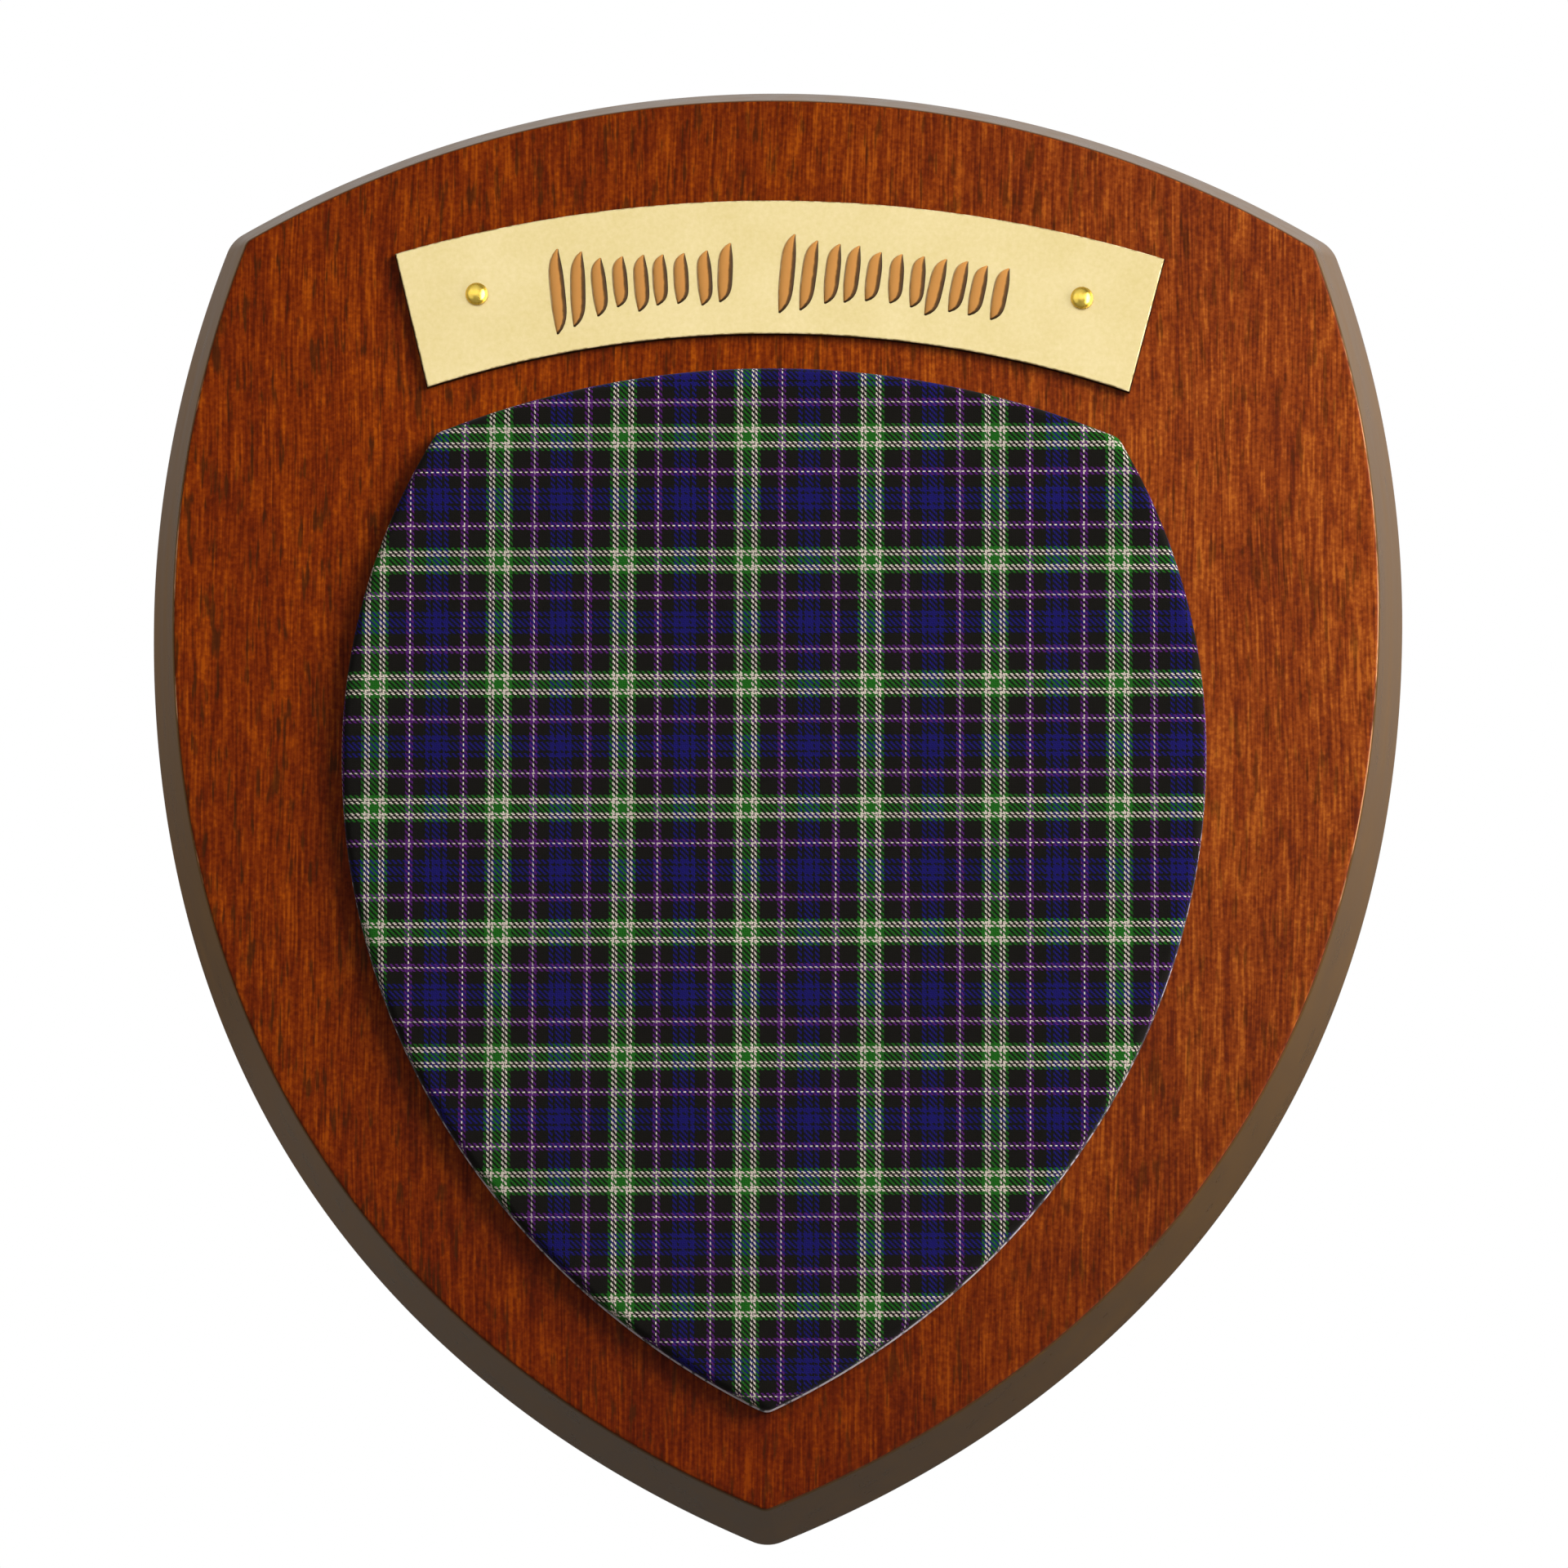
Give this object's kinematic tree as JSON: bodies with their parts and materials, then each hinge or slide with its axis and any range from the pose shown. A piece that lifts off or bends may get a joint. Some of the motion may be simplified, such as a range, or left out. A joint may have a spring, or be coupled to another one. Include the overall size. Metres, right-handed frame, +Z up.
{
  "type": "wooden wall plaque",
  "caption": "Shield-shaped wooden wall plaque with a raised tartan shield panel and an arched brass name plate held by pins.",
  "frame": {"origin": "centre of the hanging screw at the top end of the keyhole slot, in the plane of the back face", "axes": "+X to the right seen from the front, +Y out of the back towards the wall, +Z up; the front faces -Y"},
  "size_m": [0.216, 0.0183, 0.254],
  "materials": {
    "wood": "satin reddish mahogany veneer with a dark lacquered edge",
    "tartan_cloth": "woven twill tartan",
    "satin_brass": "satin",
    "polished_brass": "polished"
  },
  "bodies": {
    "root": {"backboard": "wood", "tartan_panel": "tartan_cloth", "name_plate": "satin_brass", "left_pin": "polished_brass", "right_pin": "polished_brass"}
  },
  "joints": []
}
